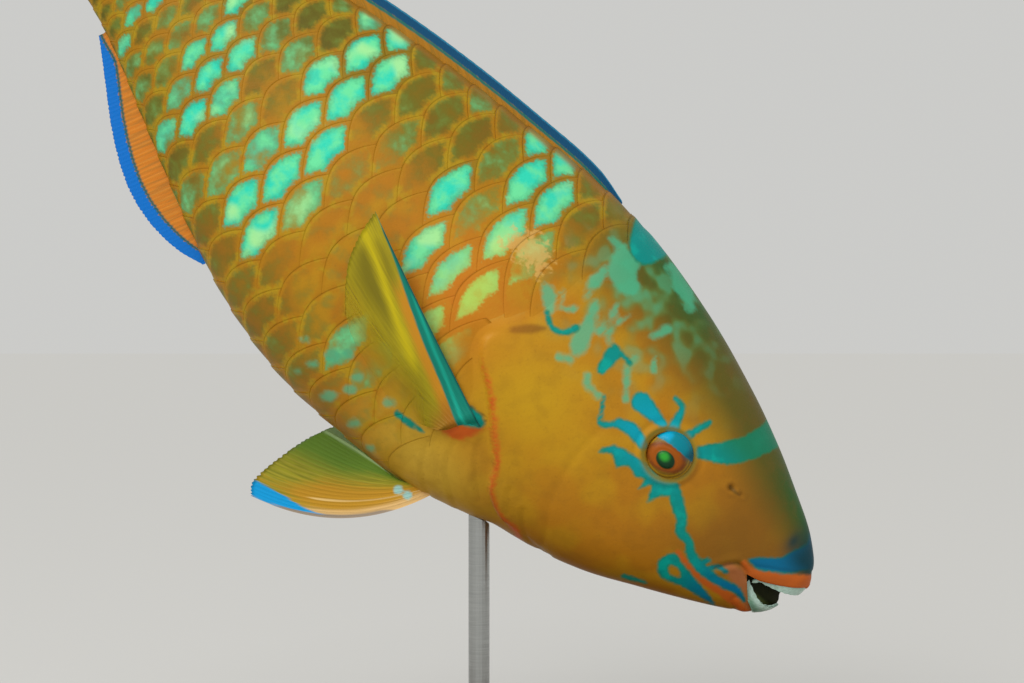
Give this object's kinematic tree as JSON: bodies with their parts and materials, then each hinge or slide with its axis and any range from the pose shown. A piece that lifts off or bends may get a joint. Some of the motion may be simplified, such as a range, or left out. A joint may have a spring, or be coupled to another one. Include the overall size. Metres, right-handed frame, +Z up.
{
  "type": "parrotfish display model",
  "caption": "Life-size parrotfish in a nose-down feeding pose, with open beak and folded fins, held over a flat base by one upright rod.",
  "frame": {"origin": "on the floor, at the middle of the flat underside of the stand's base", "axes": "+Z up; the fish faces +X and dips its nose by 45 degrees towards -Z; its right flank faces -Y and its back faces +X and +Z"},
  "size_m": [0.4249, 0.15, 0.4809],
  "materials": {
    "head_skin": "orange-brown scaleless-looking skin with teal and blue lines, semi-gloss",
    "scaled_skin": "large overlapping scales, orange edges round olive and turquoise centres, semi-gloss",
    "beak": "pale blue-green fused tooth plates, polished",
    "eye": "glossy clear front over an orange iris, a blue crescent and a green-black pupil",
    "dorsal_fin": "orange membrane with a dark blue margin, fine rays",
    "anal_fin": "orange membrane with a bright blue margin, fine rays",
    "tail_fin": "orange-gold membrane with a teal streak along each lobe and a blue margin, fine rays",
    "pectoral_fin": "translucent yellow membrane behind a teal leading ray",
    "pelvic_fin": "yellow-green membrane with a pale leading edge and a blue tip",
    "stand_wood": "dark walnut, satin oil",
    "stand_steel": "brushed stainless steel"
  },
  "bodies": {
    "root": {"head": "head_skin", "lower_jaw": "head_skin", "gill_cover_right": "head_skin", "gill_cover_left": "head_skin", "upper_beak": "beak", "lower_beak": "beak", "eye_right": "eye", "eye_left": "eye", "trunk": "scaled_skin", "tail_stalk": "scaled_skin", "dorsal_fin": "dorsal_fin", "anal_fin": "anal_fin", "tail_fin": "tail_fin", "pectoral_fin_right": "pectoral_fin", "pectoral_fin_left": "pectoral_fin", "pelvic_fin_right": "pelvic_fin", "pelvic_fin_left": "pelvic_fin", "stand_base": "stand_wood", "stand_rod": "stand_steel"}
  },
  "joints": []
}
